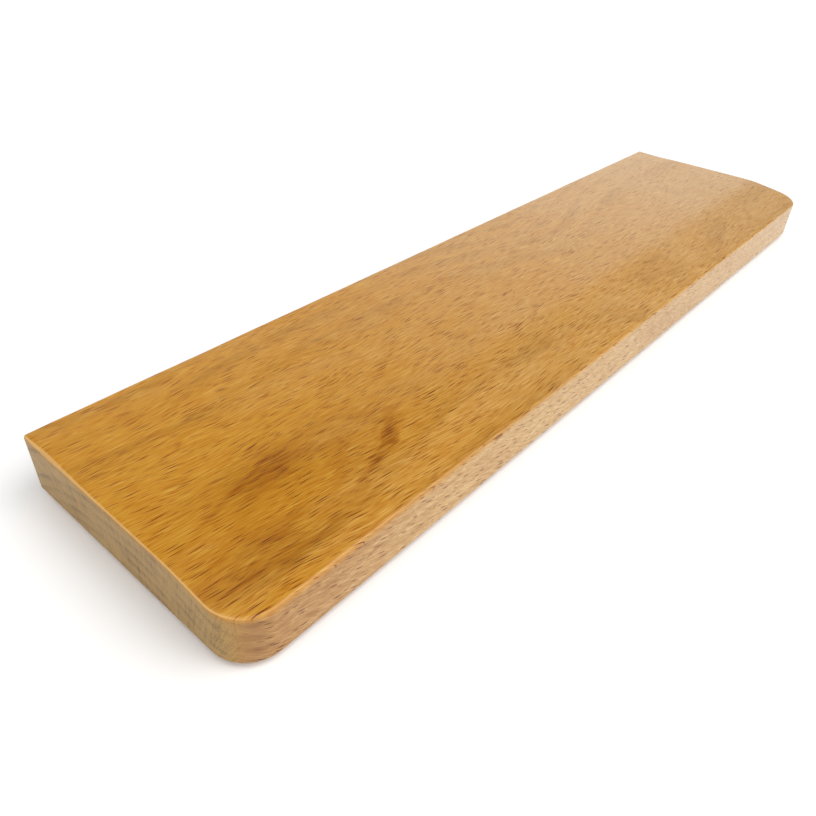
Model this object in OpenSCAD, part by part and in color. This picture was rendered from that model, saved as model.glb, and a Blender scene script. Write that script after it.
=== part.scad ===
// Wooden wrist rest for a compact keyboard: one solid beech board that stands
// on six self-adhesive rubber feet. Nothing moves.
// Dimensions are in millimetres. The origin is on the desk, under the middle of
// the board. +X runs along the board to the typist's right, +Y points to the
// keyboard and +Z points up.

/* [Board] */
// Length of the board, along the keyboard
board_l = 315; // [240:5:450]
// Depth of the board, from its front edge to the keyboard
board_d = 80; // [60:1:110]
// Thickness of the board where its top is flat
board_t = 17; // [12:0.5:25]
// How far the top falls towards the front edge
front_drop = 3; // [1:0.25:5]
// Width of the sloping front part of the top
slope_w = 22; // [15:1:30]
// Radius that blends the slope into the flat top
blend_r = 50; // [20:5:80]
// Radius of the two front corners, seen from above
front_corner_r = 10; // [4:0.5:20]
// Radius of the two back corners, seen from above
back_corner_r = 1; // [0.5:0.25:4]
// Radius of the eased edges round the top
top_edge_r = 0.8; // [0.3:0.1:2]
// Radius of the eased edges round the underside
bottom_edge_r = 0.8; // [0.3:0.1:2]

/* [Feet] */
// Diameter of a rubber foot
foot_d = 12; // [8:0.5:16]
// Height of a rubber foot, without its adhesive film
foot_h = 1.3; // [1:0.1:3]
// Radius of the rounded rim round a foot's lower face
foot_rim_r = 0.6; // [0.2:0.1:0.9]
// Thickness of the adhesive film
film_t = 0.2; // [0.1:0.05:0.4]
// How far the film stays back from the foot's edge
film_setback = 0.3; // [0.1:0.1:1]
// Distance from an end of the board to the centre of the nearest feet
foot_end_inset = 24; // [16:1:40]
// Distance from the front or back edge to the centre of a foot
foot_edge_inset = 15; // [12:1:20]

/* [Hidden] */

$fn = 96;
// Straight steps in each eased edge and in the blend of the slope
edge_steps = 8;
// Height of the board's underside above the desk
board_z = foot_h + film_t;
// Angle of the front slope
slope_a = atan(front_drop / slope_w);
half_l = board_l / 2;
half_d = board_d / 2;
foot_x = half_l - foot_end_inset;
foot_y = half_d - foot_edge_inset;

// Points on an arc of radius r about c, from angle a0 to angle a1
function arc(c, r, a0, a1) = [
    for (i = [0 : edge_steps])
        let (a = a0 + (a1 - a0) * i / edge_steps)
            c + r * [cos(a), sin(a)]
];

// Centre of the arc that rounds the front top edge. It is top_edge_r from the
// front face and from the sloping top.
front_top_c = let (
        y = -half_d + top_edge_r,
        slope_z = board_t - front_drop + top_edge_r * tan(slope_a)
    ) [y, slope_z - top_edge_r / cos(slope_a)];

// Centre of the arc that blends the slope into the flat top
blend_c = [-half_d + slope_w + blend_r * tan(slope_a / 2), board_t - blend_r];

// Section across the board: y, then height above the underside
section_outline = concat(
    arc([-half_d + bottom_edge_r, bottom_edge_r], bottom_edge_r, 270, 180),
    arc(front_top_c, top_edge_r, 180, 90 + slope_a),
    arc(blend_c, blend_r, 90 + slope_a, 90),
    arc([half_d - top_edge_r, board_t - top_edge_r], top_edge_r, 90, 0),
    arc([half_d - bottom_edge_r, bottom_edge_r], bottom_edge_r, 0, -90)
);

// Section along the board: x, then height above the underside
end_outline = concat(
    arc([-half_l + bottom_edge_r, bottom_edge_r], bottom_edge_r, 270, 180),
    arc([-half_l + top_edge_r, board_t - top_edge_r], top_edge_r, 180, 90),
    arc([half_l - top_edge_r, board_t - top_edge_r], top_edge_r, 90, 0),
    arc([half_l - bottom_edge_r, bottom_edge_r], bottom_edge_r, 0, -90)
);

// Rounded rim of a foot: radius, then height above the desk
foot_outline = concat(
    [[0, foot_h], [0, 0]],
    arc([foot_d / 2 - foot_rim_r, foot_rim_r], foot_rim_r, -90, 0),
    [[foot_d / 2, foot_h]]
);

// Outline of the board seen from above
module plan() {
    translate([-half_l + front_corner_r, -half_d])
        square([board_l - 2 * front_corner_r, board_d - back_corner_r]);
    translate([-half_l, -half_d + front_corner_r])
        square([board_l, board_d - front_corner_r - back_corner_r]);
    translate([-half_l + back_corner_r, 0])
        square([board_l - 2 * back_corner_r, half_d]);
    for (side = [-1, 1]) {
        translate([side * (half_l - front_corner_r), -half_d + front_corner_r])
            circle(r = front_corner_r);
        translate([side * (half_l - back_corner_r), half_d - back_corner_r])
            circle(r = back_corner_r);
    }
}

// The solid beech board
module board() {
    color([0.78, 0.54, 0.28])
        translate([0, 0, board_z])
            intersection() {
                linear_extrude(height = board_t)
                    plan();
                translate([-half_l, 0, 0])
                    rotate([90, 0, 90])
                        linear_extrude(height = board_l)
                            polygon(section_outline);
                translate([0, half_d, 0])
                    rotate([90, 0, 0])
                        linear_extrude(height = board_d)
                            polygon(end_outline);
            }
}

// One rubber foot. Column is -1, 0 or 1 from left to right, and row is -1 at
// the front and 1 at the back.
module foot(column, row) {
    color([0.10, 0.10, 0.11])
        translate([column * foot_x, row * foot_y, 0])
            rotate_extrude()
                polygon(foot_outline);
}

// The adhesive film between a foot and the board
module adhesive(column, row) {
    color([0.85, 0.84, 0.80])
        translate([column * foot_x, row * foot_y, foot_h])
            cylinder(h = film_t, d = foot_d - 2 * film_setback);
}

board();
foot(-1, -1);  // foot_front_left
foot(0, -1);  // foot_front_centre
foot(1, -1);  // foot_front_right
foot(-1, 1);  // foot_back_left
foot(0, 1);  // foot_back_centre
foot(1, 1);  // foot_back_right
adhesive(-1, -1);  // adhesive_front_left
adhesive(0, -1);  // adhesive_front_centre
adhesive(1, -1);  // adhesive_front_right
adhesive(-1, 1);  // adhesive_back_left
adhesive(0, 1);  // adhesive_back_centre
adhesive(1, 1);  // adhesive_back_right
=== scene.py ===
import math

import bpy
from mathutils import Matrix, Vector, noise


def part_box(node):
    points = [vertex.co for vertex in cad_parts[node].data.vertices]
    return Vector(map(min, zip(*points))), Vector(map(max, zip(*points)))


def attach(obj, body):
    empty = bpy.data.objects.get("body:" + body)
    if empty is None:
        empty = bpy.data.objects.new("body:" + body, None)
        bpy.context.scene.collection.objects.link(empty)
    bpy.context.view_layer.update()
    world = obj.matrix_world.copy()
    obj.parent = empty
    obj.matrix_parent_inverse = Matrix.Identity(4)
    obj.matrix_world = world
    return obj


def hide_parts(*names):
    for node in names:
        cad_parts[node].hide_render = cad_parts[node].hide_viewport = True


# Looks of a wooden keyboard wrist rest: one lacquered, flat-sawn beech board on
# six rubber feet, each held by an adhesive film. The scene is in metres, in the
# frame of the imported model. Sizes in this file are in millimetres, and MM turns
# them into metres.

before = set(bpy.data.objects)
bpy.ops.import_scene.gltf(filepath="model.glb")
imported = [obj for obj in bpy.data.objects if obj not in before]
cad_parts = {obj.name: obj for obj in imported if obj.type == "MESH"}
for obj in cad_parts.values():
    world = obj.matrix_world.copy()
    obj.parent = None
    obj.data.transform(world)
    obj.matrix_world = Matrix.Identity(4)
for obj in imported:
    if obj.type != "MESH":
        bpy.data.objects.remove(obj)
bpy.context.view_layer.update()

MM = 0.001

# ---------------------------------------------------------------- the board

BOARD_LOW, BOARD_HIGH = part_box("board")
BOARD_SIZE = (BOARD_HIGH - BOARD_LOW) / MM
HALF_L = BOARD_SIZE.x / 2
HALF_D = BOARD_SIZE.y / 2
UNDERSIDE_Z = BOARD_LOW.z / MM
TOP_Z = BOARD_HIGH.z / MM

FRONT_DROP = 3.0          # fall of the top over the front slope
SLOPE_W = 22.0            # width of the front slope
BLEND_R = 50.0            # radius between the slope and the flat top
FRONT_CORNER_R = 10.0     # plan radius of the front corners
BACK_CORNER_R = 1.0       # plan radius of the back corners
TOP_EDGE_R = 0.8          # mean radius of the eased top edges
TOP_EDGE_SPREAD = 0.25    # how much hand sanding varies that radius
WORN_EDGE_R = 0.9         # how much wider the edge is near the back corners
WORN_FROM_BACK = 9.0      # where it is widest, from the back edge
WORN_REACH_X = 3.0        # how far that reaches along the back edge
WORN_REACH_Y = 11.0       # and along the ends
CORNER_EDGE_SHARE = 0.8   # widest edge at a back corner, against its plan radius
CORNER_EDGE_GAIN = 0.1    # how fast that limit rises away from the corner
BOTTOM_EDGE_R = 0.8       # radius of the eased bottom edges
SUPPORT_W = 0.12          # width of the narrow faces that keep flats flat
EDGE_WAVE_L = 24.0        # length over which an eased edge varies
FLATNESS = 0.02           # height of the slow waves left by the sander
WAVE_L = 45.0             # length of those waves
WAVE_W = 30.0             # and their width across the board

CORNER_STEPS = 14         # columns round one corner
STRAIGHT_STEPS = 120      # columns along the straight part of a long edge
ROWS = 52                 # rows from the front edge to the back edge
EDGE_STEPS = 6            # rings round an eased edge
WALL_STEPS = 6            # rings down a side

# Places in the noise, which keep its uses apart
WAVE_SEED = 3.7
EDGE_SEED = 8.1
FILM_SEED_STEP = 7.0


def top_profile(y):
    """Height and slope of the top across the board, before any edge is eased."""
    angle = math.atan(FRONT_DROP / SLOPE_W)
    from_front = y + HALF_D
    blend_end = SLOPE_W + BLEND_R * math.tan(angle / 2)
    blend_start = blend_end - BLEND_R * math.sin(angle)
    if from_front >= blend_end:
        return TOP_Z, 0.0
    if from_front <= blend_start:
        slope = math.tan(angle)
        return TOP_Z - (SLOPE_W - from_front) * slope, slope
    back = blend_end - from_front
    fall = BLEND_R - math.sqrt(BLEND_R ** 2 - back ** 2)
    return TOP_Z - fall, back / math.sqrt(BLEND_R ** 2 - back ** 2)


def top_height(x, y):
    """Height of the sanded top, with its slow waves."""
    wave = noise.noise(Vector((x / WAVE_L, y / WAVE_W, WAVE_SEED)))
    return top_profile(y)[0] + FLATNESS * (wave - 1)


def edge_points(side, corner_r, start_angle, end_angle):
    """Plan points and outward normals of the front (side -1) or back (side 1)
    edge, from the left end to the right end, corners included."""
    points = []
    for end in (-1, 1):
        centre = Vector((end * (HALF_L - corner_r), side * (HALF_D - corner_r)))
        for step in range(CORNER_STEPS + 1):
            share = step / CORNER_STEPS
            turn = share if end < 0 else 1 - share
            angle = math.radians(start_angle + (end_angle - start_angle) * turn)
            normal = Vector((-end * math.cos(angle), math.sin(angle)))
            points.append((centre + corner_r * normal, normal))
        if end < 0:
            straight_l = 2 * (HALF_L - corner_r)
            for step in range(1, STRAIGHT_STEPS):
                x = centre.x + straight_l * step / STRAIGHT_STEPS
                points.append((Vector((x, side * HALF_D)), Vector((0, side))))
    return points


def plan_loop():
    """The board's outline seen from above: the front edge from left to right,
    the right end, the back edge from right to left, then the left end. With it
    goes the number of points on the front edge."""
    front = edge_points(-1, FRONT_CORNER_R, 180, 270)
    back = edge_points(1, BACK_CORNER_R, 180, 90)
    right_end = []
    left_end = []
    for row in range(1, ROWS):
        share = row / ROWS
        right = front[-1][0].lerp(back[-1][0], share)
        left = front[0][0].lerp(back[0][0], share)
        right_end.append((right, Vector((1, 0))))
        left_end.append((left, Vector((-1, 0))))
    return front + right_end + back[::-1] + left_end[::-1], len(front)


def edge_radius(point):
    """Radius of the eased top edge: hand sanding leaves it uneven, and widest
    along the ends near the back corners. At the corners themselves it stays
    below their own radius."""
    uneven = noise.noise(
        Vector((point.x / EDGE_WAVE_L, point.y / EDGE_WAVE_L, EDGE_SEED)))
    along = (HALF_L - abs(point.x)) / WORN_REACH_X
    across = (HALF_D - WORN_FROM_BACK - point.y) / WORN_REACH_Y
    worn = WORN_EDGE_R * math.exp(-along ** 2 - across ** 2)
    from_corner = math.hypot(HALF_L - abs(point.x), HALF_D - point.y)
    widest = BACK_CORNER_R * CORNER_EDGE_SHARE + from_corner * CORNER_EDGE_GAIN
    return min(TOP_EDGE_R * (1 + TOP_EDGE_SPREAD * uneven) + worn, widest)


def board_rings(loop):
    """Rings of points from the top face, round the eased edge, down the side
    and under the board, with how much of each ring is eased edge."""
    rings = []

    def ring(place, edge):
        rings.append(([place(point, normal) for point, normal in loop], edge))

    def eased(point, normal):
        """Radius, start angle and centre height of the eased edge here."""
        radius = edge_radius(point)
        tilt = math.atan(-normal.y * top_profile(point.y)[1])
        inner = point - radius * (1 - math.sin(tilt)) * normal
        return radius, tilt, top_height(inner.x, inner.y) - radius * math.cos(tilt)

    def on_top(point, normal):
        radius, tilt, _ = eased(point, normal)
        inset = radius * (1 - math.sin(tilt)) + SUPPORT_W
        place = point - inset * normal
        return place.x, place.y, top_height(place.x, place.y)

    def on_edge(share):
        def place(point, normal):
            radius, tilt, centre_z = eased(point, normal)
            angle = tilt + (math.pi / 2 - tilt) * share
            spot = point - radius * (1 - math.sin(angle)) * normal
            return spot.x, spot.y, centre_z + radius * math.cos(angle)
        return place

    def on_wall(share):
        def place(point, normal):
            high = eased(point, normal)[2] - SUPPORT_W
            low = UNDERSIDE_Z + BOTTOM_EDGE_R + SUPPORT_W
            return point.x, point.y, high + (low - high) * share
        return place

    def under_edge(share):
        def place(point, normal):
            angle = math.pi / 2 * share
            spot = point - BOTTOM_EDGE_R * (1 - math.cos(angle)) * normal
            rise = BOTTOM_EDGE_R * (1 - math.sin(angle))
            return spot.x, spot.y, UNDERSIDE_Z + rise
        return place

    def under(point, normal):
        spot = point - (BOTTOM_EDGE_R + SUPPORT_W) * normal
        return spot.x, spot.y, UNDERSIDE_Z

    ring(on_top, 0.0)
    for step in range(EDGE_STEPS + 1):
        share = step / EDGE_STEPS
        ring(on_edge(share), math.sin(math.pi * share))
    for step in range(WALL_STEPS + 1):
        ring(on_wall(step / WALL_STEPS), 0.0)
    for step in range(EDGE_STEPS + 1):
        share = step / EDGE_STEPS
        ring(under_edge(share), math.sin(math.pi * share))
    ring(under, 0.0)
    return rings


def fill_face(vertices, faces, ring_start, columns, height, upward):
    """Fills a closed ring with a grid of faces that look up or down. height
    gives z from x and y. Each row is stretched to reach the ring's two ends,
    whatever their easing."""
    right_start = ring_start + columns
    back_start = right_start + ROWS - 1
    left_start = back_start + columns
    interior = {}

    def between(row, column):
        """Place on the straight line between the front and the back edge."""
        front = Vector(vertices[ring_start + column][:2])
        back = Vector(vertices[back_start + columns - 1 - column][:2])
        return front.lerp(back, row / ROWS)

    for row in range(1, ROWS):
        ring_left = vertices[left_start + ROWS - 1 - row][0]
        ring_right = vertices[right_start + row - 1][0]
        line_left = between(row, 0).x
        line_right = between(row, columns - 1).x
        stretch = (ring_right - ring_left) / (line_right - line_left)
        for column in range(1, columns - 1):
            x, y = between(row, column)
            x = ring_left + (x - line_left) * stretch
            interior[row, column] = len(vertices)
            vertices.append((x, y, height(x, y)))

    def index(row, column):
        if row == 0:
            return ring_start + column
        if row == ROWS:
            return back_start + columns - 1 - column
        if column == 0:
            return left_start + ROWS - 1 - row
        if column == columns - 1:
            return right_start + row - 1
        return interior[row, column]

    for row in range(ROWS):
        for column in range(columns - 1):
            face = (
                index(row, column),
                index(row, column + 1),
                index(row + 1, column + 1),
                index(row + 1, column),
            )
            faces.append(face if upward else face[::-1])


def build_mesh(name, vertices, faces, edge_values=None):
    """A smooth mesh object from points in millimetres. edge_values marks how
    much each point belongs to an eased edge."""
    mesh = bpy.data.meshes.new(name)
    mesh.from_pydata([[c * MM for c in vertex] for vertex in vertices], [], faces)
    mesh.polygons.foreach_set("use_smooth", [True] * len(mesh.polygons))
    if edge_values is not None:
        eased = mesh.attributes.new("eased", "FLOAT", "POINT")
        eased.data.foreach_set("value", edge_values)
    mesh.update()
    piece = bpy.data.objects.new(name, mesh)
    bpy.context.scene.collection.objects.link(piece)
    return piece


def build_board():
    """The board as one closed mesh with eased edges all round."""
    loop, columns = plan_loop()
    vertices = []
    faces = []
    edge_values = []
    rings = board_rings(loop)
    for points, edge in rings:
        vertices += points
        edge_values += [edge] * len(points)
    count = len(loop)
    for ring in range(len(rings) - 1):
        for i in range(count):
            following = (i + 1) % count
            faces.append((
                ring * count + i,
                (ring + 1) * count + i,
                (ring + 1) * count + following,
                ring * count + following,
            ))
    fill_face(vertices, faces, 0, columns, top_height, True)
    last = (len(rings) - 1) * count
    fill_face(vertices, faces, last, columns, lambda x, y: UNDERSIDE_Z, False)
    edge_values += [0.0] * (len(vertices) - len(edge_values))
    return build_mesh("beech_board", vertices, faces, edge_values)


# ------------------------------------------------------------ feet and films

ROUND_STEPS = 72          # faces round a foot or a film
RIM_STEPS = 6             # steps round a foot's rim
SMALL_ARC_STEPS = 3       # and round a smaller edge
FOOT_RIM_R = 0.6          # radius of a foot's rounded lower rim
FOOT_TOP_EDGE_R = 0.12    # radius of the moulded edge against the film
GROOVE_R = 3.6            # radius of the shallow ring moulded in the foot's face
GROOVE_W = 0.9            # width of that ring
GROOVE_DEPTH = 0.18       # depth of that ring
GROOVE_STEPS = 10         # steps across that ring
FOOT_MIDDLE_R = 1.44      # inner ring that keeps the middle of a foot's face flat
FILM_MIDDLE = 0.7         # the same for a film, as a share of its radius
FILM_EDGE = 0.25          # radius of a film's edges, as a share of its thickness
FILM_WOBBLE = 0.05        # unevenness of the film's cut edge
WOBBLE_RATE = 2.5         # how fast that unevenness changes round the film


def turned(name, centre, outline, wobble=0.0, seed=0.0):
    """A closed round piece turned about a vertical axis. The outline is a list
    of (radius, z) from the middle of the underside to the middle of the top.
    wobble is how far its edge strays from round, and seed its place in the
    noise."""
    vertices = [(centre.x, centre.y, outline[0][1])]
    for radius, z in outline[1:-1]:
        for step in range(ROUND_STEPS):
            angle = 2 * math.pi * step / ROUND_STEPS
            across = Vector((math.cos(angle), math.sin(angle)))
            uneven = noise.noise(Vector((across.x, across.y, seed)) * WOBBLE_RATE)
            place = centre.xy + across * (radius + wobble * uneven)
            vertices.append((place.x, place.y, z))
    vertices.append((centre.x, centre.y, outline[-1][1]))
    faces = []
    rings = len(outline) - 2
    last = len(vertices) - 1
    for step in range(ROUND_STEPS):
        following = (step + 1) % ROUND_STEPS
        faces.append((0, 1 + following, 1 + step))
        for ring in range(rings - 1):
            low = 1 + ring * ROUND_STEPS
            high = low + ROUND_STEPS
            faces.append((low + step, low + following, high + following, high + step))
        top = 1 + (rings - 1) * ROUND_STEPS
        faces.append((last, top + step, top + following))
    return build_mesh(name, vertices, faces)


def arc_points(centre_r, centre_z, radius, start, end, steps):
    """Outline points on an arc, by angles in degrees."""
    points = []
    for step in range(steps + 1):
        angle = math.radians(start + (end - start) * step / steps)
        points.append((
            centre_r + radius * math.cos(angle),
            centre_z + radius * math.sin(angle),
        ))
    return points


def build_foot(node):
    """A moulded rubber foot with a rounded rim and a shallow ring in its face."""
    low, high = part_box(node)
    centre = (low + high) / 2 / MM
    radius = (high.x - low.x) / 2 / MM
    bottom = low.z / MM
    top = high.z / MM
    groove = [
        (
            GROOVE_R + GROOVE_W * (share - 0.5),
            bottom + GROOVE_DEPTH * math.sin(math.pi * share) ** 2,
        )
        for share in (step / GROOVE_STEPS for step in range(GROOVE_STEPS + 1))
    ]
    outline = (
        [(0, bottom), (FOOT_MIDDLE_R, bottom)]
        + groove
        + arc_points(radius - FOOT_RIM_R, bottom + FOOT_RIM_R,
                     FOOT_RIM_R, -90, 0, RIM_STEPS)
        + arc_points(radius - FOOT_TOP_EDGE_R, top - FOOT_TOP_EDGE_R,
                     FOOT_TOP_EDGE_R, 0, 90, SMALL_ARC_STEPS)
        + [(0, top)]
    )
    return turned("rubber_" + node, centre, outline)


def build_film(node, seed):
    """An adhesive film disc whose cut edge isn't perfectly round."""
    low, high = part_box(node)
    centre = (low + high) / 2 / MM
    radius = (high.x - low.x) / 2 / MM - FILM_WOBBLE
    bottom = low.z / MM
    top = high.z / MM
    edge = (top - bottom) * FILM_EDGE
    outline = (
        [(0, bottom), (radius * FILM_MIDDLE, bottom)]
        + arc_points(radius - edge, bottom + edge, edge, -90, 0, SMALL_ARC_STEPS)
        + arc_points(radius - edge, top - edge, edge, 0, 90, SMALL_ARC_STEPS)
        + [(0, top)]
    )
    return turned("film_" + node, centre, outline, FILM_WOBBLE, seed)


# ------------------------------------------------------- shader node helpers


class Field:
    """One number at each point of a surface: the output of a shader node."""

    def __init__(self, tree, socket):
        self.tree = tree
        self.socket = socket

    def math(self, operation, other=None):
        """What a math node makes of this field and the other one."""
        node = self.tree.nodes.new("ShaderNodeMath")
        node.operation = operation
        plug(self.tree, self, node.inputs[0])
        plug(self.tree, other, node.inputs[1])
        return Field(self.tree, node.outputs[0])

    def __add__(self, other):
        return self.math("ADD", other)

    def __sub__(self, other):
        return self.math("SUBTRACT", other)

    def __mul__(self, other):
        return self.math("MULTIPLY", other)

    def __truediv__(self, other):
        return self.math("DIVIDE", other)

    def size(self):
        """The number without its sign."""
        return self.math("ABSOLUTE")

    def inverse(self):
        """1 where the field is 0, and 0 where it is 1."""
        return self * -1 + 1

    def weakened(self, share, where):
        """The field, less that share of it where the other field is 1."""
        return self * (where * -share + 1)

    def step(self, low, high):
        """0 at low, 1 at high and smooth between them; low may be the larger."""
        node = self.tree.nodes.new("ShaderNodeMapRange")
        node.interpolation_type = "SMOOTHSTEP"
        plug(self.tree, self, node.inputs["Value"])
        plug(self.tree, low, node.inputs["From Min"])
        plug(self.tree, high, node.inputs["From Max"])
        return Field(self.tree, node.outputs["Result"])


def plug(tree, value, socket):
    """Feeds a node's input from a Field, a socket, a colour or a number."""
    if value is None:
        return
    if isinstance(value, Field):
        tree.links.new(value.socket, socket)
    elif isinstance(value, bpy.types.NodeSocket):
        tree.links.new(value, socket)
    elif isinstance(value, tuple) and len(value) == 3 and socket.type == "RGBA":
        socket.default_value = (*value, 1.0)
    else:
        socket.default_value = value


def vector_of(tree, x, y, z):
    """A vector socket made of three fields or numbers."""
    node = tree.nodes.new("ShaderNodeCombineXYZ")
    for value, socket in zip((x, y, z), node.inputs):
        plug(tree, value, socket)
    return node.outputs[0]


def parts_of(tree, socket):
    """The three parts of a vector or a colour, as fields."""
    node = tree.nodes.new("ShaderNodeSeparateXYZ")
    tree.links.new(socket, node.inputs[0])
    return [Field(tree, output) for output in node.outputs]


def noise_field(tree, place, size, detail=2.0, roughness=0.5):
    """Smooth noise, 0 to 1, with features of that size along each part of the
    place, in millimetres. detail counts its finer layers, and roughness is how
    strong they are."""
    node = tree.nodes.new("ShaderNodeTexNoise")
    scaled = [part / length for part, length in zip(place, size)]
    plug(tree, vector_of(tree, *scaled), node.inputs["Vector"])
    node.inputs["Scale"].default_value = 1.0
    node.inputs["Detail"].default_value = detail
    node.inputs["Roughness"].default_value = roughness
    return Field(tree, node.outputs[0])


def ellipse_distance(x, y, centre_x, centre_y, half_l, half_w, tilt=0.0):
    """Distance from a centre, 1 on the ellipse of those half-axes."""
    along = (x - centre_x) / half_l
    across = (y - centre_y - (x - centre_x) * tilt) / half_w
    return (along * along + across * across).math("SQRT")


def bell(distance):
    """1 at distance 0, falling off smoothly."""
    return (distance * distance * -1).math("EXPONENT")


def blend(share, first, second):
    """first where share is 0 and second where it is 1."""
    return first + (second - first) * share


def mix_colour(tree, share, first, second):
    """first where share is 0 and second where it is 1, for colours."""
    node = tree.nodes.new("ShaderNodeMix")
    node.data_type = "RGBA"
    plug(tree, share, node.inputs[0])
    plug(tree, first, node.inputs[6])
    plug(tree, second, node.inputs[7])
    return node.outputs[2]


def deepened(tree, base, density):
    """The colour laid on that densely, 1 leaving it as it is. The channels that
    are dark already change the most, so darker also means more saturated."""
    node = tree.nodes.new("ShaderNodeGamma")
    plug(tree, base, node.inputs["Color"])
    plug(tree, density, node.inputs["Gamma"])
    return node.outputs[0]


def colour(red, green, blue):
    """Linear colour from screen values of 0 to 255."""
    def linear(value):
        share = value / 255
        if share <= 0.04045:
            return share / 12.92
        return ((share + 0.055) / 1.055) ** 2.4
    return linear(red), linear(green), linear(blue)


def new_material(name):
    """A material with one Principled shader, and its node tree."""
    material = bpy.data.materials.new(name)
    material.use_nodes = True
    tree = material.node_tree
    return material, tree, tree.nodes["Principled BSDF"]


def surface_point(tree):
    """Where a surface point is, in millimetres, and its normal."""
    node = tree.nodes.new("ShaderNodeTexCoord")
    scale = tree.nodes.new("ShaderNodeVectorMath")
    scale.operation = "SCALE"
    tree.links.new(node.outputs["Object"], scale.inputs[0])
    scale.inputs["Scale"].default_value = 1 / MM
    place = parts_of(tree, scale.outputs[0])
    facing = parts_of(tree, node.outputs["Normal"])
    return place, facing


def add_bump(tree, shader, height, depth):
    """Bump from a height field, where a height of 1 is depth millimetres."""
    node = tree.nodes.new("ShaderNodeBump")
    node.inputs["Strength"].default_value = 1.0
    node.inputs["Distance"].default_value = depth * MM
    plug(tree, height, node.inputs["Height"])
    tree.links.new(node.outputs[0], shader.inputs["Normal"])


# ------------------------------------------------------------------ the beech

# Colours of the wood on its kinds of face
TOP_COLOUR = colour(184, 126, 34)
# The paler top colour also paints the sheen towards the right end
TOP_PALE_AND_SHEEN_COLOUR = colour(186, 147, 92)
TOP_DEEP_COLOUR = colour(150, 92, 2)
SIDE_COLOUR = colour(185, 148, 93)
# The deeper side colour also paints shade towards the right end
SIDE_DEEP_AND_SHADE_COLOUR = colour(160, 115, 60)
CORNER_COLOUR = colour(132, 92, 46)
END_COLOUR = colour(162, 127, 66)
END_DARK_COLOUR = colour(108, 78, 24)
# Pale line of rubbed lacquer and painted highlight on the edges of the ends
RUBBED_EDGE_HIGHLIGHT_COLOUR = colour(218, 174, 108)
FLECK_COLOUR = colour(92, 50, 0)
LATEWOOD_COLOUR = colour(122, 74, 0)

# Growth rings: the board was cut from a log whose pith ran below it
PITH_DEPTH = 86.0         # depth of the pith below the top
RING_W = 3.4              # mean width of a ring
RING_SHIFT = 2.58         # places a dark ring line 22 mm to each side of the pith
RING_STRAY = 1.6          # how far a ring strays from a true circle
LATEWOOD_START = 0.3      # where in a ring the latewood starts
LATEWOOD_PEAK = 0.88      # and where it is darkest

# Where the log bends towards the front: place from the left end, half-length
# of the bend and how far the pith moves
BENDS = (
    (195.0, 38.0, 17.0),
    (25.0, 30.0, 5.0),
)

# The grain runs off the board's axis near the left end and straightens out
GRAIN_RUN_OUT = 13.0      # how far the grain runs forward, left end to right
GRAIN_RUN_LENGTH = 110.0  # length over which it straightens
GRAIN_RUN_BACK = 0.8      # where it starts, as a share of the half depth
GRAIN_RUN_FRONT = -0.6    # and where it is full
GRAIN_DIVE = 0.27         # how fast the grain on the sides runs down
GRAIN_STRAY_Y = 7.0       # how far it strays to the sides
GRAIN_STRAY_Z = 3.0       # and up or down

# How squarely a face looks along the board, or across it, where it starts to
# count as each kind of face and where it wholly does
END_FACING = (0.6, 0.95)
END_EDGE_FACING = (0.3, 0.6)
SIDE_FACING = (0.25, 0.9)
CORNER_FACING = (0.05, 0.5)  # for the product of both
# The same for the place from the left end, as a share of the length
FAR_PLACE = (-0.1, 1.1)

# The lacquer of the top laps over the upper edge of the sides
LIP_DEPTH = 2.2
LIP_SHARE = 0.6

# The eye: a closed ring where a swell of the log just touches the top
EYE_X = 33.0              # centre, from the left end
EYE_Y = 20.5              # centre, from the front edge
EYE_HALF_L = 33.0         # half-axes of its dark ring
EYE_HALF_W = 11.0
EYE_TILT = 0.14           # how fast its long axis runs away from the front edge
EYE_BAND = 0.09           # width of that ring, as a share of its size
EYE_INNER_RING = 0.5      # size of a weaker ring inside it, as a share
EYE_INNER_SHARE = 0.55    # strength of the weaker ring
EYE_FAINTEST = 0.1        # strength of the rings away from the shoulders
EYE_SHAKE = 0.7           # how uneven the rings are
EYE_GROWTH = 0.05         # how much the eye grows with each millimetre down
STAIN_REACH = 1.3         # size of the stain, against the eye
STAIN_SHARE = 0.3         # strength of the stain at the centre

# Shoulders of the eye: place right of and behind its centre, half-length and
# half-width, then the strength of the rings and of the stain there
EYE_SHOULDERS = (
    ((-4.0, 8.8, 15.0, 7.0), 0.45, 0.3),
    ((23.0, -3.3, 13.0, 9.0), 0.9, 0.0),
    ((-17.0, -9.9, 12.0, 6.0), 0.7, 0.45),
)

# A smudge: place from the eye's centre, half-length, half-width and tilt
SMUDGE = (-1.0, 8.25, 9.0, 2.6, 0.1)
SMUDGE_SHARE = 0.6

# A paler patch of the top: place from the left end and the front edge,
# half-length and half-width
PALE_PATCH = (125.0, 8.0, 65.0, 20.0)

# Sizes of the wood's patterns along the board, across it and down
EYE_SHAKE_SIZE = (14, 6, 9)
GRAIN_STRAY_SIZE = (50, 20, 30)
RING_STRAY_SIZE = (40, 18, 12)
PATCH_SIZE = (26, 8, 6)
MOTTLE_SIZE = (34, 11, 12)
FIBRE_SIZE = (7, 0.32, 9)
BUNDLE_SIZE = (18, 0.85, 9)
SIDE_FIBRE_SIZE = (2.4, 9, 0.4)
PORE_SIZE = (0.5, 0.4, 0.4)
BLOTCH_SIZE = (4, 9, 2.5)
SMEAR_SIZE = (40, 30, 20)
# Size of the rays on the ends: round the pith, away from it and along the board
RAY_SIZE = (0.5, 6, 3)

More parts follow.
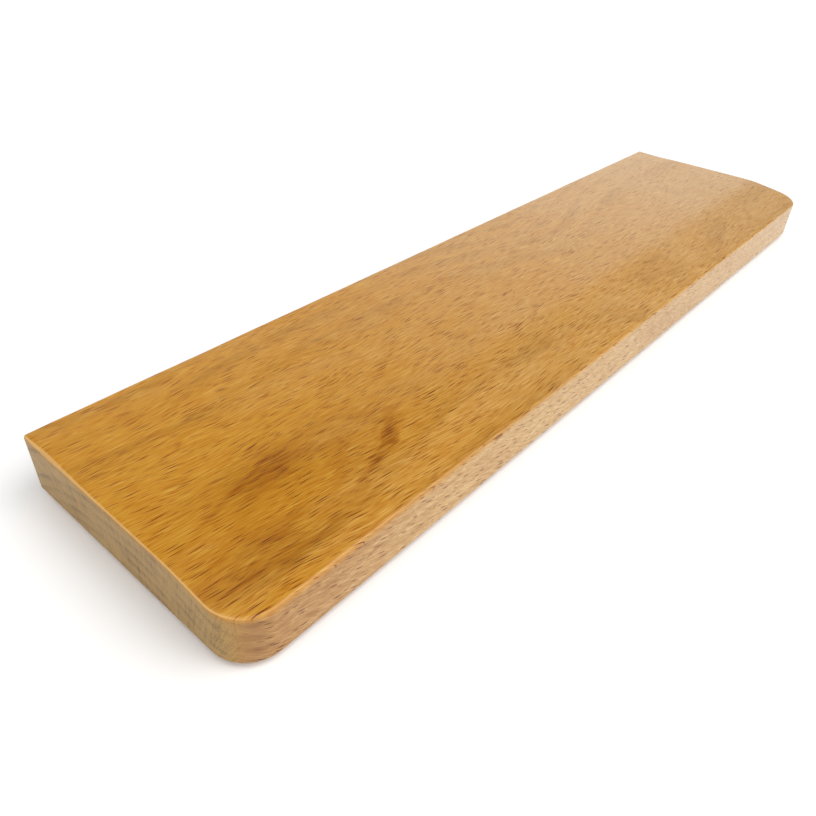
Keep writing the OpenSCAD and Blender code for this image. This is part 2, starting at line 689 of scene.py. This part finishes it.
# Ray flecks: their spacing along and across the grain, half the size of the
# largest as a share of it, and how many places hold one
TOP_FLECKS = ((15.0, 0.66), 0.2, 0.85)
FINE_FLECKS = ((9.0, 0.45), 0.22, 0.65)
SIDE_FLECKS = ((7.5, 1.05), 0.22, 0.75)
FINE_FLECK_SHIFT = 31     # sets the fine flecks apart from the others
SIDE_FLECK_SHIFT = 57     # and those of the sides
SMALLEST_FLECK = 0.4      # size of the smallest fleck against the largest
PALEST_FLECK = 0.6        # strength of the palest fleck against the darkest
FAINT_PLACES = 0.02       # half the share of places whose fleck is faint
FLECK_CORE = 0.6          # where a fleck is darkest, against its outline
SPINDLE = 1.4             # outline of a fleck: 1 is a diamond and 2 an ellipse
FINE_FLECK_SHARE = 0.45   # strength of the fine flecks away from the eye
FINE_FLECK_EYE = 1.4      # and how much the eye adds to it

# Shares of the figure that fade
TOP_CORNER_FADE = 0.8     # of the top's flecks, round the corners
SIDE_CORNER_FADE = 0.5    # of the sides' flecks and fibres, round the corners
FLECK_FAR_FADE = 0.35     # of the flecks, towards the right end
RING_FAR_FADE = 0.4       # of the ring lines, towards the right end
SIDE_FADE = 0.6           # of the ring lines and the eye, on the long sides

# What makes the top paler, 0 to 1. Towards the right end this is partly the wood's tone
# and partly painted sheen
PALE_FAR_AND_SHEEN = 0.66           # the right end
PALE_MOTTLE = 0.6         # the mottle
PALE_PATCH_SHARE = 0.13   # the patch

# What makes the long sides deeper, 0 to 1. Towards the right end this is painted shade,
# which offsets the sheen of the wall light
DEEP_L = 75.0             # length of the deeper stretch at the left end
DEEP_MOTTLE = 0.3         # the mottle
DEEP_MOTTLE_RANGE = (0.4, 0.7)  # noise levels between which it fades in
DEEP_RINGS = 0.2          # the ring lines
DEEP_FAR_SHADE = 0.2            # the right end
CORNER_DEPTH = 0.45       # how deep the corners are between the ring lines
CORNER_RINGS = 0.5        # and how much deeper on them

# What makes the ends darker, 0 to 1
END_DARKNESS = 0.12       # everywhere
END_RINGS = 0.15          # the ring lines
END_RING_PATCHES = 0.45   # and what patches of stronger lines add
END_RAYS = 2.2
END_PORES = 2.6

# The ring lines on the other faces
RING_LINES = 0.1          # strength of the faintest lines
RING_PATCHES = 0.24       # and what patches of stronger lines add
PATCH_RANGE = (0.38, 0.66)  # noise levels between which they fade in
EYE_LINES = 0.2           # what the rings of the eye add

# How densely the wood's colour is laid on, 1 leaving it as it is
PLAIN_DENSITY = 0.965     # where there are no streaks or flecks
STREAK_DENSITY = -1.25    # what the fibres add
FLECK_DENSITY = 1.6       # what the flecks add
EYE_DENSITY = 0.3         # what the rings of the eye add
EYE_BUNDLES = 3.5         # and the bundles of fibres in them
EYE_FIBRES = 2.5          # and the fibres in them
FLECK_TINT = 0.6          # how far the flecks take on their own colour

# What the streaks of the top are made of
TOP_FIBRES = 0.9
TOP_BUNDLES = 0.2

# How far the lacquer is rubbed off the edges of the ends, with a painted highlight laid
# along them
RUBBED_HIGHLIGHT_LEAST = 0.4
RUBBED_HIGHLIGHT_MOTTLE = 0.6       # what the mottle adds

# The lacquer
LACQUER_IOR = 1.44
LEAST_ROUGHNESS = 0.22
SMEAR_ROUGHNESS = 0.1     # what smears add to that
END_ROUGHNESS = 0.2       # and the open end grain
RAISED_FIBRES = 0.6       # share of the relief that fibres raise
SUNK_FLECKS = 0.3         # and that flecks and pores sink
SUNK_PORES = 0.4
RELIEF = 0.03             # height of the relief


def top_edge_z(y):
    """Rough height of the upper edge of the board's sides, by place across it."""
    return y.step(-HALF_D, -HALF_D + SLOPE_W) * FRONT_DROP + (TOP_Z - FRONT_DROP)


class WoodPoint:
    """A point on the board as fields: where it is, on what kind of face, and
    how the grain runs there."""

    def __init__(self, tree):
        self.tree = tree
        self.place, (facing_x, facing_y, _) = surface_point(tree)
        self.x, self.y, self.z = self.place
        self.from_left = self.x + HALF_L
        self.from_front = self.y + HALF_D

        # Nearness to the right end, and kinds of face, 0 to 1
        self.far = (self.from_left / (2 * HALF_L)).step(*FAR_PLACE)
        self.lip = (self.z - top_edge_z(self.y)).step(-LIP_DEPTH, 0) * LIP_SHARE
        self.on_side = facing_y.size().step(*SIDE_FACING) * self.lip.inverse()
        self.on_end = facing_x.size().step(*END_FACING)
        self.on_end_edge = facing_x.size().step(*END_EDGE_FACING)
        self.on_corner = (facing_x * facing_y).size().step(*CORNER_FACING)

        # Places across the grain, on the top and on the sides
        straightening = (self.from_left / -GRAIN_RUN_LENGTH).math("EXPONENT").inverse()
        towards_front = (self.y / HALF_D).step(GRAIN_RUN_BACK, GRAIN_RUN_FRONT)
        run_out = straightening * towards_front * GRAIN_RUN_OUT
        stray = noise_field(tree, self.place, GRAIN_STRAY_SIZE) - 0.5
        self.across = self.y + run_out + stray * GRAIN_STRAY_Y
        self.down = self.z + self.from_left * GRAIN_DIVE + stray * GRAIN_STRAY_Z

    def on_grain(self, size, detail, roughness=0.5):
        """Noise that follows the grain of the top."""
        place = (self.x, self.across, self.z)
        return noise_field(self.tree, place, size, detail, roughness)

    def patch(self, *ellipse):
        """1 at the middle of a soft patch, placed from the left and the front."""
        return bell(ellipse_distance(self.from_left, self.from_front, *ellipse))

    def eye_patch(self, right, behind, *shape):
        """A soft patch placed from the centre of the eye."""
        return self.patch(EYE_X + right, EYE_Y + behind, *shape)


def log_place(point):
    """Distance from the log's pith, and how far round it the point lies."""
    ring_y = point.y
    for centre_x, half_l, shift in BENDS:
        ring_y = ring_y + bell((point.from_left - centre_x) / half_l) * shift
    ring_z = point.z - TOP_Z + PITH_DEPTH
    stray = noise_field(point.tree, point.place, RING_STRAY_SIZE, 3.0) - 0.5
    radius = (ring_y * ring_y + ring_z * ring_z).math("SQRT") + stray * RING_STRAY
    return radius, ring_y.math("ARCTAN2", ring_z) * PITH_DEPTH


def latewood_line(radius):
    """The darker latewood that ends each growth ring, 0 to 1."""
    phase = ((radius + RING_SHIFT) / RING_W).math("FRACT")
    return phase.step(LATEWOOD_START, LATEWOOD_PEAK) * phase.step(1, LATEWOOD_PEAK)


def eye_figure(point):
    """The dark rings of the eye, strongest over its shoulders, with the smudge
    behind its centre. Then the stain, which goes into the base colour."""
    eye_place = (point.from_left, point.from_front, point.z)
    shake = noise_field(point.tree, eye_place, EYE_SHAKE_SIZE, 4.0) - 0.5
    distance = ellipse_distance(
        point.from_left, point.from_front, EYE_X, EYE_Y, EYE_HALF_L, EYE_HALF_W, EYE_TILT
    ) + shake * EYE_SHAKE + (point.z - TOP_Z) * EYE_GROWTH
    rings = bell((distance - 1) / EYE_BAND)
    rings = rings + bell((distance - EYE_INNER_RING) / EYE_BAND) * EYE_INNER_SHARE
    strength = EYE_FAINTEST
    stain = bell(distance / STAIN_REACH) * STAIN_SHARE
    for shape, ring_share, stain_share in EYE_SHOULDERS:
        shoulder = point.eye_patch(*shape)
        strength = shoulder * ring_share + strength
        stain = shoulder * stain_share + stain
    return rings * strength + point.eye_patch(*SMUDGE) * SMUDGE_SHARE, stain


def flecks(tree, along, across, spacing, reach, share):
    """Spindle-shaped ray flecks, 0 to 1. spacing is their spacing along and
    across the grain, reach half the size of the largest as a share of it, and
    share how many places hold one."""
    node = tree.nodes.new("ShaderNodeTexVoronoi")
    node.voronoi_dimensions = "2D"
    node.distance = "MINKOWSKI"
    node.inputs["Exponent"].default_value = SPINDLE
    node.inputs["Scale"].default_value = 1.0
    place = vector_of(tree, along / spacing[0], across / spacing[1], 0.0)
    plug(tree, place, node.inputs["Vector"])
    chance = parts_of(tree, node.outputs["Color"])
    size = chance[0] * (reach * (1 - SMALLEST_FLECK)) + reach * SMALLEST_FLECK
    distance = Field(tree, node.outputs["Distance"]) / size
    present = chance[1].step(1 - share - FAINT_PLACES, 1 - share + FAINT_PLACES)
    weight = chance[2] * (1 - PALEST_FLECK) + PALEST_FLECK
    return distance.step(1, FLECK_CORE) * present * weight


def ray_flecks(point, eye):
    """All ray flecks of the top and the long sides. The fine ones are stronger
    in the eye, and all are fainter round the corners and to the right."""
    tree = point.tree
    large = flecks(tree, point.x, point.across, *TOP_FLECKS)
    fine = flecks(tree, point.x + FINE_FLECK_SHIFT, point.across, *FINE_FLECKS)
    fine = fine * (eye * FINE_FLECK_EYE + FINE_FLECK_SHARE)
    top = large.math("MAXIMUM", fine).weakened(TOP_CORNER_FADE, point.on_corner)
    side = flecks(tree, point.x + SIDE_FLECK_SHIFT, point.down, *SIDE_FLECKS)
    side = side.weakened(SIDE_CORNER_FADE, point.on_corner)
    return blend(point.on_side, top, side).weakened(FLECK_FAR_FADE, point.far)


def side_fibres(point):
    """Fibres of the long sides, from -0.5 to 0.5."""
    place = (point.x, point.y, point.down)
    fibres = noise_field(point.tree, place, SIDE_FIBRE_SIZE, 2.0, 0.65) - 0.5
    return fibres.weakened(SIDE_CORNER_FADE, point.on_corner)


def top_colour(point, mottle, stain):
    """Lacquered top, deeper round the eye and paler towards the right end, where the
    paling is partly the wood's tone and partly painted sheen.
    """
    pale = point.far * PALE_FAR_AND_SHEEN + (mottle - 0.5) * PALE_MOTTLE
    pale = pale + point.patch(*PALE_PATCH) * PALE_PATCH_SHARE
    top = mix_colour(point.tree, pale, TOP_COLOUR, TOP_PALE_AND_SHEEN_COLOUR)
    return mix_colour(point.tree, stain, top, TOP_DEEP_COLOUR)


def side_colour(point, mottle, latewood):
    """Long sides, deeper round the corners, towards the left end and, less so,
    towards the right one, where the deepening is painted shade that offsets the sheen of
    the wall light."""
    depth = mottle.step(*DEEP_MOTTLE_RANGE) * DEEP_MOTTLE + latewood * DEEP_RINGS
    depth = depth + point.from_left.step(DEEP_L, 0) + point.far * DEEP_FAR_SHADE
    side = mix_colour(point.tree, depth, SIDE_COLOUR, SIDE_DEEP_AND_SHADE_COLOUR)
    corner_depth = point.on_corner * (latewood * CORNER_RINGS + CORNER_DEPTH)
    return mix_colour(point.tree, corner_depth, side, CORNER_COLOUR)


def end_colour(point, radius, round_pith, rings, pores):
    """End grain: faint rings, rays and open pores, below the lip of the top."""
    tree = point.tree
    rays = noise_field(tree, (round_pith, radius, point.x), RAY_SIZE, 3.0, 0.6) - 0.5
    blotch = noise_field(tree, point.place, BLOTCH_SIZE, 4.0, 0.6) - 0.5
    darkness = rings + rays * END_RAYS + pores * END_PORES + blotch + END_DARKNESS
    end = mix_colour(tree, darkness, END_COLOUR, END_DARK_COLOUR)
    return mix_colour(tree, point.lip, end, TOP_COLOUR)


def beech_material():
    """Flat-sawn beech under satin lacquer. Growth rings run through the board
    as a solid texture. Ray flecks and fibres follow the grain on the top and
    on the long sides, and the two ends show end grain."""
    material, tree, shader = new_material("lacquered_beech")
    point = WoodPoint(tree)
    radius, round_pith = log_place(point)
    latewood = latewood_line(radius)
    patchy = point.on_grain(PATCH_SIZE, 3.0).step(*PATCH_RANGE)
    mottle = point.on_grain(MOTTLE_SIZE, 3.0, 0.55)
    fibres = point.on_grain(FIBRE_SIZE, 2.0, 0.6) - 0.5
    bundles = point.on_grain(BUNDLE_SIZE, 3.0, 0.7) - 0.5
    pores = noise_field(tree, point.place, PORE_SIZE, 3.0, 0.7) - 0.5
    eye, stain = eye_figure(point)
    marks = ray_flecks(point, eye)
    top_streaks = fibres * TOP_FIBRES + bundles * TOP_BUNDLES
    streaks = blend(point.on_side, top_streaks, side_fibres(point))

    # The top and the long sides: base colour, ring lines, then fibres and flecks
    top = top_colour(point, mottle, stain)
    side = side_colour(point, mottle, latewood)
    wood = mix_colour(tree, point.on_side, top, side)
    ring_lines = latewood * (patchy * RING_PATCHES + RING_LINES)
    ring_lines = ring_lines.weakened(RING_FAR_FADE, point.far)
    figure = (ring_lines + eye * EYE_LINES).weakened(SIDE_FADE, point.on_side)
    wood = mix_colour(tree, figure, wood, LATEWOOD_COLOUR)
    eye_lines = eye * (bundles * EYE_BUNDLES + fibres * EYE_FIBRES + EYE_DENSITY)
    density = streaks * STREAK_DENSITY + marks * FLECK_DENSITY + PLAIN_DENSITY
    density = density + eye_lines.weakened(SIDE_FADE, point.on_side)
    wood = deepened(tree, wood, density)
    wood = mix_colour(tree, marks * FLECK_TINT, wood, FLECK_COLOUR)

    # The ends
    end_rings = latewood * (patchy * END_RING_PATCHES + END_RINGS)
    end = end_colour(point, radius, round_pith, end_rings, pores)
    wood = mix_colour(tree, point.on_end, wood, end)

    # The lacquer is rubbed thin along the eased edges of the two ends, and a painted
    # highlight runs along them
    eased_node = tree.nodes.new("ShaderNodeAttribute")
    eased_node.attribute_name = "eased"
    eased = Field(tree, eased_node.outputs["Fac"])
    rubbed_and_highlight = eased.step(0.5, 1) * point.on_end_edge * point.on_corner.inverse()
    rubbed_and_highlight = rubbed_and_highlight * (mottle * RUBBED_HIGHLIGHT_MOTTLE + RUBBED_HIGHLIGHT_LEAST)
    wood = mix_colour(tree, rubbed_and_highlight, wood, RUBBED_EDGE_HIGHLIGHT_COLOUR)
    plug(tree, wood, shader.inputs["Base Color"])

    smear = noise_field(tree, point.place, SMEAR_SIZE, 3.0)
    roughness = smear * SMEAR_ROUGHNESS + LEAST_ROUGHNESS
    roughness = roughness + point.on_end * END_ROUGHNESS
    plug(tree, roughness, shader.inputs["Roughness"])
    shader.inputs["IOR"].default_value = LACQUER_IOR
    relief = streaks * RAISED_FIBRES - marks * SUNK_FLECKS
    relief = relief - pores * point.on_end * SUNK_PORES
    add_bump(tree, shader, relief, RELIEF)
    return material


# ----------------------------------------------------- rubber, film and floor

RUBBER_COLOUR = colour(24, 24, 25)
RUBBER_GRAIN_COLOUR = colour(40, 40, 42)
BLOOM_COLOUR = colour(74, 73, 72)
DUST_COLOUR = colour(128, 122, 112)
FILM_COLOUR = colour(226, 223, 212)
FILM_HAZE_COLOUR = colour(202, 196, 180)
BUBBLE_COLOUR = colour(240, 239, 234)
FLOOR_COLOUR = colour(246, 246, 245)
FLOOR_CLOUD_COLOUR = colour(243, 243, 243)

# Sizes of their patterns, the noise levels between which some of them fade in,
# and how strong those are
RUBBER_GRAIN_SIZE = (0.18, 0.18, 0.18)
BLOOM_SIZE = (3, 3, 3)
BLOOM_RANGE = (0.4, 0.75)
BLOOM_SHARE = 0.3
DUST_SIZE = (0.5, 0.5, 0.5)
DUST_RANGE = (0.62, 0.8)
DUST_SHARE = 0.25
HAZE_SIZE = (1.6, 1.6, 0.4)
BUBBLE_SIZE = (0.25, 0.25, 0.25)
BUBBLE_RANGE = (0.62, 0.72)
BUBBLE_SHARE = 0.4
CLOUD_SIZE = (300, 300, 1)

RUBBER_ROUGHNESS = 0.58
GRAIN_ROUGHNESS = 0.2     # what the rubber's grain adds to that
BLOOM_ROUGHNESS = 0.1     # and its bloom
FILM_ROUGHNESS = 0.3
HAZE_ROUGHNESS = 0.2      # what the film's haze adds to that
FLOOR_ROUGHNESS = 0.9
FLOOR_SPECULAR = 0.1
RUBBER_RELIEF = 0.03      # height of the relief
FILM_RELIEF = 0.02
HAZE_RELIEF = 0.5         # share of the film's relief that haze raises


def rubber_material():
    """Black moulded rubber with fine grain, bloom and dust."""
    material, tree, shader = new_material("moulded_rubber")
    place, _ = surface_point(tree)
    grain = noise_field(tree, place, RUBBER_GRAIN_SIZE, 3.0, 0.6)
    bloom = noise_field(tree, place, BLOOM_SIZE, 3.0).step(*BLOOM_RANGE)
    dust = noise_field(tree, place, DUST_SIZE).step(*DUST_RANGE)
    base = mix_colour(tree, grain, RUBBER_COLOUR, RUBBER_GRAIN_COLOUR)
    base = mix_colour(tree, bloom * BLOOM_SHARE, base, BLOOM_COLOUR)
    base = mix_colour(tree, dust * DUST_SHARE, base, DUST_COLOUR)
    plug(tree, base, shader.inputs["Base Color"])
    roughness = grain * GRAIN_ROUGHNESS + bloom * BLOOM_ROUGHNESS + RUBBER_ROUGHNESS
    plug(tree, roughness, shader.inputs["Roughness"])
    add_bump(tree, shader, grain, RUBBER_RELIEF)
    return material


def film_material():
    """Milky acrylic adhesive film with fine bubbles."""
    material, tree, shader = new_material("adhesive_film")
    place, _ = surface_point(tree)
    haze = noise_field(tree, place, HAZE_SIZE, 3.0)
    bubbles = noise_field(tree, place, BUBBLE_SIZE, 1.0).step(*BUBBLE_RANGE)
    base = mix_colour(tree, haze, FILM_COLOUR, FILM_HAZE_COLOUR)
    base = mix_colour(tree, bubbles * BUBBLE_SHARE, base, BUBBLE_COLOUR)
    plug(tree, base, shader.inputs["Base Color"])
    plug(tree, haze * HAZE_ROUGHNESS + FILM_ROUGHNESS, shader.inputs["Roughness"])
    add_bump(tree, shader, haze * HAZE_RELIEF + bubbles, FILM_RELIEF)
    return material


def floor_material():
    """Plain pale studio floor."""
    material, tree, shader = new_material("pale_floor")
    place, _ = surface_point(tree)
    cloud = noise_field(tree, place, CLOUD_SIZE)
    base = mix_colour(tree, cloud, FLOOR_COLOUR, FLOOR_CLOUD_COLOUR)
    plug(tree, base, shader.inputs["Base Color"])
    shader.inputs["Roughness"].default_value = FLOOR_ROUGHNESS
    shader.inputs["Specular IOR Level"].default_value = FLOOR_SPECULAR
    return material


# ---------------------------------------------------------------- the pieces


def finish_piece(piece, node, material):
    """Dresses a piece and lets it stand for its CAD node."""
    piece.data.materials.append(material)
    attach(piece, "root")
    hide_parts(node)


finish_piece(build_board(), "board", beech_material())
rubber = rubber_material()
adhesive = film_material()
foot_places = [f"{row}_{column}" for row in ("front", "back")
               for column in ("left", "centre", "right")]
for number, foot_place in enumerate(foot_places):
    foot = "foot_" + foot_place
    film = "adhesive_" + foot_place
    finish_piece(build_foot(foot), foot, rubber)
    finish_piece(build_film(film, number * FILM_SEED_STEP), film, adhesive)

# ----------------------------------------------------------------- the studio

FLOOR_RINGS = (300.0, 1200.0, 6000.0)      # half the side of each ring of faces

# The surround: the direction of each light, how far towards it the light fades
# in, and how bright it is
OVERHEAD_FROM = Vector((-0.34, -0.65, 0.68))
OVERHEAD_SPREAD = (0.2, 0.8)
OVERHEAD_LIGHT = 1.42
WALL_FROM = Vector((0.42, 0.91))
WALL_SPREAD = (0.36, 0.75)
WALL_TOP = (0.62, 0.3)                     # the same for its height
WALL_LIGHT = 1.26
DARK_LIGHT = 0.09                          # what the rest of the surround gives
SHOWN_WHITE = (0.97, 0.97, 0.97)           # the surround as the camera sees it

CAMERA_AT = Vector((-199.4, -112.8, 129.1))
VIEW_AZIMUTH = 50.3                        # from +Y towards +X
VIEW_DIP = 36.9                            # below the horizon
VIEW_ROLL = 2.65
SENSOR_W = 36.0
LENS = 31.84


def build_floor():
    """A wide floor in a few rings of faces."""
    corners = ((-1, -1), (1, -1), (1, 1), (-1, 1))
    vertices = [(x * reach, y * reach, 0.0) for reach in FLOOR_RINGS for x, y in corners]
    faces = [(0, 1, 2, 3)]
    for ring in range(len(FLOOR_RINGS) - 1):
        for i in range(4):
            low = 4 * ring
            following = (i + 1) % 4
            faces.append((low + i, low + 4 + i, low + 4 + following, low + following))
    floor = build_mesh("studio_floor", vertices, faces)
    floor.data.materials.append(floor_material())


def studio_world():
    """White studio surround: a wide soft light above and behind the camera,
    dark between, and a bright wall low down behind the board, which the far
    end of the top mirrors."""
    world = bpy.data.worlds.new("studio")
    bpy.context.scene.world = world
    world.use_nodes = True
    tree = world.node_tree
    background = tree.nodes["Background"]
    coordinate = tree.nodes.new("ShaderNodeTexCoord")
    x, y, z = parts_of(tree, coordinate.outputs["Generated"])
    overhead = x * OVERHEAD_FROM.x + y * OVERHEAD_FROM.y + z * OVERHEAD_FROM.z
    overhead = overhead.step(*OVERHEAD_SPREAD)
    wall = (x * WALL_FROM.x + y * WALL_FROM.y).step(*WALL_SPREAD) * z.step(*WALL_TOP)
    light = overhead * OVERHEAD_LIGHT + wall * WALL_LIGHT + DARK_LIGHT
    seen = tree.nodes.new("ShaderNodeLightPath").outputs["Is Camera Ray"]
    shown = mix_colour(tree, seen, vector_of(tree, light, light, light), SHOWN_WHITE)
    plug(tree, shown, background.inputs["Color"])


def add_sun(name, azimuth, elevation, strength, spread):
    """A soft distant lamp. Azimuth 0 shines from the front, 90 from the right."""
    lamp = bpy.data.lights.new(name, "SUN")
    lamp.energy = strength
    lamp.angle = math.radians(spread)
    holder = bpy.data.objects.new(name, lamp)
    turn = Matrix.Rotation(math.radians(azimuth), 4, "Z")
    tilt = Matrix.Rotation(math.radians(90 - elevation), 4, "X")
    holder.matrix_world = turn @ tilt
    bpy.context.scene.collection.objects.link(holder)


def add_camera():
    """Close view from above the left end, slightly rolled, as if hand-held."""
    camera = bpy.data.cameras.new("view")
    camera.sensor_width = SENSOR_W
    camera.lens = LENS
    camera.clip_start = 5 * MM
    camera.clip_end = 50000 * MM
    holder = bpy.data.objects.new("view", camera)
    turn = Matrix.Rotation(math.radians(-VIEW_AZIMUTH), 4, "Z")
    dip = Matrix.Rotation(math.radians(90 - VIEW_DIP), 4, "X")
    roll = Matrix.Rotation(math.radians(VIEW_ROLL), 4, "Z")
    holder.matrix_world = Matrix.Translation(CAMERA_AT * MM) @ turn @ dip @ roll
    bpy.context.scene.collection.objects.link(holder)
    bpy.context.scene.camera = holder


build_floor()
studio_world()
add_sun("key", azimuth=40, elevation=52, strength=1.3, spread=45)
add_camera()
bpy.context.scene.view_settings.view_transform = "Standard"
